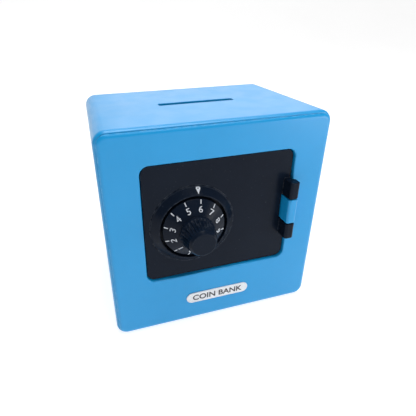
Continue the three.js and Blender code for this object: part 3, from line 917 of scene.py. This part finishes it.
def label_plate():
    """A pill-shaped plate with a raised rim round a flat field."""
    size = LABEL_HIGH - LABEL_LOW
    points = rectangle(size.x, size.z, size.z / 2 - 0.01, LABEL_CENTRE.x, LABEL_CENTRE.z, 16)
    front, back = LABEL_LOW.y - FRONT, LABEL_HIGH.y - FRONT
    steps = [(0, back), (0, front + 0.18), (0.06, front + 0.05), (0.18, front), (0.42, front)]
    steps += [(0.52, front + 0.07), (0.62, front + LABEL_FIELD)]
    return loft("label", [ring(inset(points, gap), level) for gap, level in steps])


def label_lettering():
    """A plain generic caption, the same on any coin bank."""
    mesh = lettering("COIN BANK", CAPTION_HEIGHT, 1.08, 0.02)
    field = LABEL_LOW.y + LABEL_FIELD
    for vertex in mesh.vertices:
        x, y, z = vertex.co
        vertex.co = (LABEL_CENTRE.x + x, field - z, LABEL_CENTRE.z - CAPTION_HEIGHT / 2 + y)
    return joined("label_lettering", [mesh])


# ---------------------------------------- fasteners
def fastener(node_name, head_height, cross):
    """A pan head screw with a cross recess and a ridged shank, its head towards the back."""
    low, high = corners(node_name)
    centre = (low + high) / 2
    head = (high.x - low.x) / 2
    tip, top = low.y - FRONT, high.y - FRONT
    seat = top - head_height
    shank = head / 2
    pitch, ridge, point = 0.9, 0.2, 1.2
    profile = [(0, tip, 0), (shank - 2 * ridge, tip + point, 0)]
    turns = int((seat - 0.6 - tip - point) / pitch)
    for turn in range(turns):
        start = tip + point + turn * pitch
        profile += [
            (shank - ridge, start + 0.3, 0),
            (shank, start + 0.45, 0),
            (shank - ridge, start + 0.6, 0),
        ]
    profile += [
        (shank - ridge, seat, 0.1),
        (head, seat, 0.1),
        (head, seat + head_height * 0.45, 0.3),
        (head * 0.78, top - 0.12, 0.6),
        (0, top, 0),
    ]
    made = lathe("screw", rounded_path(profile, 4, False), centre, 40)
    return cut(made, cross_recess(centre, top, cross))


def cross_recess(centre, top, reach):
    """A tapering cross, wide at the top of the head."""
    half = reach * 0.2
    points = []
    for quarter_turn in range(4):
        turn = Matrix.Rotation(math.pi / 2 * quarter_turn, 2)
        for point in ((reach, -half), (reach, half), (half, half)):
            points.append(turn @ Vector(point) + Vector((centre.x, centre.z)))
    return loft("cutter", [ring(inset(points, half * 0.5), top - reach * 0.75), ring(points, top + 0.3)])


def hinge_pin():
    low, high = corners("hinge_pin")
    radius = (high.x - low.x) / 2
    centre = (low + high) / 2
    return prism("pin", circle(centre.x, centre.y, radius), low.z, high.z, upright, 0.25)


# ---------------------------------------- wheels and washers
def polar(radius, degrees):
    angle = math.radians(degrees)
    return Vector((DIAL.x + radius * math.cos(angle), DIAL.z + radius * math.sin(angle)))


def wheel(name, depths, gate, tabs, bore):
    """A notched wheel. gate and the tabs' directions are degrees anticlockwise from +X.

    tabs holds (direction, from depth, to depth), and bore is the cutter for its hole.
    """
    half_gap = math.degrees(math.asin(GATE_WIDTH / 2 / WHEEL_RADIUS))
    steps = 88
    points = []
    for step in range(steps + 1):
        turn = gate + half_gap + (360 - 2 * half_gap) * step / steps
        points.append((*polar(WHEEL_RADIUS, turn), 0))
    across = polar(1, gate + 90) - polar(0, 0)
    floor = polar(WHEEL_RADIUS - GATE_DEPTH, gate)
    points.append((*(floor - across * GATE_WIDTH / 2), 0.35))
    points.append((*(floor + across * GATE_WIDTH / 2), 0.35))
    made = prism(name, rounded_path(points, 4), *depths)
    union(made, *[wheel_tab(*place) for place in tabs])
    return cut(made, bore)


def wheel_tab(direction, start, end):
    """A small block on a wheel's face, by which one wheel picks up the next."""
    out = polar(1, direction) - polar(0, 0)
    side = Vector((-out.y, out.x))
    middle = polar(TAB_RADIUS, direction)
    points = []
    for a, b in ((-1, -1), (1, -1), (1, 1), (-1, 1)):
        place = middle + out * a * TAB_HALF_LENGTH + side * b * TAB_HALF_WIDTH
        points.append((*place, 0.35))
    return prism("tab", rounded_path(points, 4), start, end, edge=0.15)


def key_bore(low, high):
    """The drive wheel's bore, flat on two sides to key it on the stem."""
    reach = STEM_RADIUS + 0.2
    flat = STEM_FLAT + 0.2
    limit = math.degrees(math.acos(flat / reach))
    points = []
    for start in (limit, 180 + limit):
        for step in range(13):
            points.append(polar(reach, start + (180 - 2 * limit) * step / 12))
    return cutter(points, low, high)


def washer(node_name, inner):
    low, high = corners(node_name)
    outer = (high.x - low.x) / 2
    front, back = low.y - FRONT, high.y - FRONT
    profile = [(inner, front, 0.15), (outer, front, 0.15), (outer, back, 0.15), (inner, back, 0.15)]
    return lathe("washer", rounded_path(profile, 3), closed=True, segments=64)


# ---------------------------------------- latch and cover
def latch():
    """A springy moulding: anchor block, thin leaf, head, fence towards the wheels, and wedge."""
    head_low, head_high = DIAL.z - HEAD_HALF, DIAL.z + HEAD_HALF
    fence_low, fence_high = DIAL.z - FENCE_HALF, DIAL.z + FENCE_HALF
    fence_tip = DIAL.x - WHEEL_RADIUS - 0.4
    sunk = LATCH_FRONT + 0.6

    def block(x0, x1, z0, z1, start, end, radius):
        points = rectangle(x1 - x0, z1 - z0, radius, (x0 + x1) / 2, (z0 + z1) / 2, 5)
        return prism("block", points, start, end)

    anchor = (ANCHOR_LEFT, ANCHOR_RIGHT, ANCHOR_LOW, ANCHOR_HIGH)
    leaf = (LEAF_LEFT, LEAF_RIGHT, head_high - 1, ANCHOR_LOW + 1)
    head = (HEAD_LEFT, HEAD_RIGHT, head_low, head_high)
    fence = (HEAD_RIGHT - 1, fence_tip, fence_low, fence_high)
    made = block(*anchor, LATCH_FRONT, ANCHOR_BACK, 0.9)
    union(made, block(*leaf, sunk, LEAF_BACK, 0.3))
    union(made, block(*head, LATCH_FRONT + 0.31, HEAD_BACK, 0.6))
    union(made, block(*fence, sunk, FENCE_BACK, 0.3))
    union(made, latch_wedge(HEAD_LEFT, head_low, head_high))
    holes = [drill(SMALL_HOLE, LATCH_FRONT, ANCHOR_BACK, screw_centre(name)) for name in LATCH_SCREWS]
    return cut(made, together(holes))


def latch_wedge(x, low, high):
    """The catch, seen from above: steep in front, with a long slope behind."""
    tip = -OPENING_WIDTH / 2 - 1.2
    face = FRONT + LIP_BACK + FIT
    points = rounded_path([
        (tip + 1.6, face, 0.3),
        (x + 0.5, face, 0.3),
        (x + 0.5, FRONT + 14, 0.3),
        (tip, face + 2.4, 0.3),
        (tip, face + 1.6, 0.3),
    ], 4)
    return prism("wedge", points, low + 1.5, high - 1.5, upright)


def cover_moulding():
    """The box over the wheels, with four screw ears and a window for the latch's fence."""
    def section(gap):
        size = 2 * (COVER_HALF - gap)
        return rectangle(size, size, max(3 - gap, 1.0), DIAL.x, DIAL.z)

    mouth = [(SOFT_EDGE, COVER_FRONT), (0, COVER_FRONT + SOFT_EDGE)]
    made = cup("cover", section, COVER_WALL, mouth, COVER_BACK, 1.2, 5)
    centres = [screw_centre(name) for name in COVER_SCREWS]
    union(made, together([cover_ear(centre) for centre in centres]))
    holes = [drill(EAR_HOLE, EAR_FRONT, EAR_FRONT + EAR_THICK, centre) for centre in centres]
    left = DIAL.x - COVER_HALF
    window = cutter(rectangle(COVER_WALL + 2, 6, 0.5, left + COVER_WALL / 2, DIAL.z, 4), 0, 15.8)
    return cut(made, together(holes), window)


def cover_ear(centre):
    """A tab on the cover's upper or lower wall, round at its outer end, for one screw."""
    toward = 1 if centre.z > DIAL.z else -1
    wall = DIAL.z + toward * (COVER_HALF - 1)
    outer = centre.z + toward * EAR_RADIUS
    low, high = min(wall, outer), max(wall, outer)
    below = EAR_RADIUS - 0.05 if toward < 0 else 0.3
    above = EAR_RADIUS - 0.05 if toward > 0 else 0.3
    points = rounded_path([
        (centre.x + EAR_RADIUS, low, below),
        (centre.x + EAR_RADIUS, high, above),
        (centre.x - EAR_RADIUS, high, above),
        (centre.x - EAR_RADIUS, low, below),
    ])
    return prism("ear", points, EAR_FRONT, EAR_FRONT + EAR_THICK)


# ---------------------------------------- camera, light and floor
CAMERA_PLACE = Vector((-55.0, -171.24, 150.7))
CAMERA_TURN, CAMERA_TILT, CAMERA_ROLL = 15.647, 26.322, -0.973
CAMERA_LENS, CAMERA_SHIFT = 29.76, (0.058, -0.0523)
WORLD_LIGHT = 0.12
PAPER_GLOW = 0.80               # the paper is lit from behind, as on a light table


def add_camera():
    data = bpy.data.cameras.new("camera")
    data.lens = CAMERA_LENS
    data.sensor_width = 36
    data.shift_x, data.shift_y = CAMERA_SHIFT
    data.clip_start = 0.01
    camera = bpy.data.objects.new("camera", data)
    bpy.context.scene.collection.objects.link(camera)
    turn = Matrix.Rotation(-math.radians(CAMERA_TURN), 3, "Z")
    tilt = Matrix.Rotation(math.radians(90 - CAMERA_TILT), 3, "X")
    roll = Matrix.Rotation(math.radians(CAMERA_ROLL), 3, "Z")
    camera.matrix_world = Matrix.Translation(CAMERA_PLACE * MM) @ (turn @ tilt @ roll).to_4x4()
    bpy.context.scene.camera = camera


def add_softbox(name, place, target, size, power):
    """An oblong area light, in metres and watts, that the camera doesn't see."""
    data = bpy.data.lights.new(name, "AREA")
    data.shape = "RECTANGLE"
    data.size, data.size_y = size
    data.energy = power
    light = bpy.data.objects.new(name, data)
    light.location = place
    light.rotation_euler = (Vector(target) - Vector(place)).to_track_quat("-Z", "Y").to_euler()
    light.visible_camera = False
    bpy.context.scene.collection.objects.link(light)


def add_world():
    world = bpy.data.worlds.new("studio")
    world.use_nodes = True
    background = world.node_tree.nodes["Background"]
    background.inputs["Color"].default_value = rgb(1.0, 1.0, 1.0)
    background.inputs["Strength"].default_value = WORLD_LIGHT
    bpy.context.scene.world = world


def add_floor():
    """A pale floor that sweeps up into a wall behind."""
    half, back, height, bend = 2.5, 1.6, 2.6, 0.8
    profile = [(-half, 0.0), (back - bend, 0.0)]
    steps = 16
    for step in range(1, steps + 1):
        angle = math.pi / 2 * step / steps
        profile.append((back - bend + bend * math.sin(angle), bend * (1 - math.cos(angle))))
    profile.append((back, height))
    verts = [(x, y, z) for y, z in profile for x in (-half, half)]
    faces = [(2 * i, 2 * i + 1, 2 * i + 3, 2 * i + 2) for i in range(len(profile) - 1)]
    floor = piece("floor", verts, faces)
    floor.data.polygons.foreach_set("use_smooth", [True] * len(faces))
    material, tree, shader = new_material("floor_paper")
    tone = remap(tree, noise(tree, 6, 3), 0.3, 0.7, 0.0, 1.0)
    paper = blend(tree, tone, rgb(0.46, 0.46, 0.46), rgb(0.43, 0.43, 0.43))
    feed(tree, shader.inputs["Base Color"], paper)
    shader.inputs["Roughness"].default_value = 0.9
    shader.inputs["Specular IOR Level"].default_value = 0.1
    shader.inputs["Emission Color"].default_value = rgb(1.0, 1.0, 1.0)
    shader.inputs["Emission Strength"].default_value = PAPER_GLOW
    floor.data.materials.append(material)


def add_stage():
    middle = (0.0, 0.0, 0.055)
    add_camera()
    add_world()
    add_floor()
    add_softbox("rear_softbox", (0.25, 0.62, 0.55), middle, (0.6, 0.6), 0.8)
    add_softbox("top_softbox", (0.08, -0.05, 0.9), middle, (0.6, 0.6), 6.1)
    add_softbox("edge_softbox", (0.13, -0.52, 0.51), middle, (0.4, 0.04), 0.6)
    add_softbox("side_softbox", (0.30, -0.30, 0.08), middle, (0.25, 0.12), 0.36)
    bpy.context.scene.view_settings.view_transform = "Standard"


# ---------------------------------------- assembly
def fasten(names, label, body, head_height, cross):
    for i, name in enumerate(names, 1):
        finished(fastener(name, head_height, cross), f"{label}_{i}", body, "steel", name)


def build_case():
    finished(front_moulding(), "front_moulding", "case", "blue_plastic", "front_frame")
    finished(shell_moulding(), "shell_moulding", "case", "blue_plastic", "body_shell")
    finished(label_plate(), "label_plate", "case", "silver_label", "name_label")
    finished(label_lettering(), "label_lettering", "case", None, material=DARK_INK)
    finished(hinge_pin(), "hinge_rod", "case", "steel", "hinge_pin")
    fasten(CASE_SCREWS, "case_fastener", "case", CASE_HEAD, CASE_CROSS)


def build_door():
    finished(door_moulding(), "door_moulding", "door", "black_plastic", "door_panel")
    finished(dial_pointer(), "dial_pointer", "door", None, material=WHITE_INK)
    finished(cover_moulding(), "cover_moulding", "door", "black_plastic", "lock_cover")
    finished(latch(), "latch_moulding", "door", "ivory_plastic", "latch_arm")
    fasten(COVER_SCREWS, "cover_fastener", "door", SMALL_HEAD, SMALL_CROSS)
    fasten(LATCH_SCREWS, "latch_fastener", "door", SMALL_HEAD, SMALL_CROSS)
    for i in (1, 2):
        name = f"spacer_washer_{i}"
        finished(washer(name, HUB_RADIUS + 0.2), f"wheel_spacer_{i}", "door", "ivory_plastic", name)


def build_dial():
    finished(dial_moulding(), "dial_moulding", "dial", "black_plastic", "number_dial")
    finished(dial_numbers(), "dial_numbers", "dial", None, material=WHITE_INK)
    finished(knob_moulding(), "knob_moulding", "dial", "black_plastic", "dial_knob")
    finished(washer("spindle_washer", 1.5), "stem_washer", "dial", "steel", "spindle_washer")
    made = fastener("spindle_screw", SMALL_HEAD, SMALL_CROSS)
    finished(made, "stem_fastener", "dial", "steel", "spindle_screw")


def build_wheels():
    drive = wheel("drive", DRIVE_DEPTHS, 110, [(-90, 11.6, 13.2)], key_bore(12, 16))
    finished(drive, "drive_disc", "dial", "grey_plastic", "drive_wheel")
    tabs = [(-75, 10.7, 12.4), (145, 8.1, 9.1)]
    middle = wheel("middle", MIDDLE_DEPTHS, -130, tabs, drill(WHEEL_BORE, *MIDDLE_DEPTHS))
    finished(middle, "middle_disc", "middle_wheel", "ivory_plastic", "tumbler_wheel_2")
    inner = wheel("inner", INNER_DEPTHS, -35, [(160, 7.5, 8.5)], drill(WHEEL_BORE, *INNER_DEPTHS))
    finished(inner, "inner_disc", "inner_wheel", "ivory_plastic", "tumbler_wheel_1")


add_stage()
build_case()
build_door()
build_dial()
build_wheels()
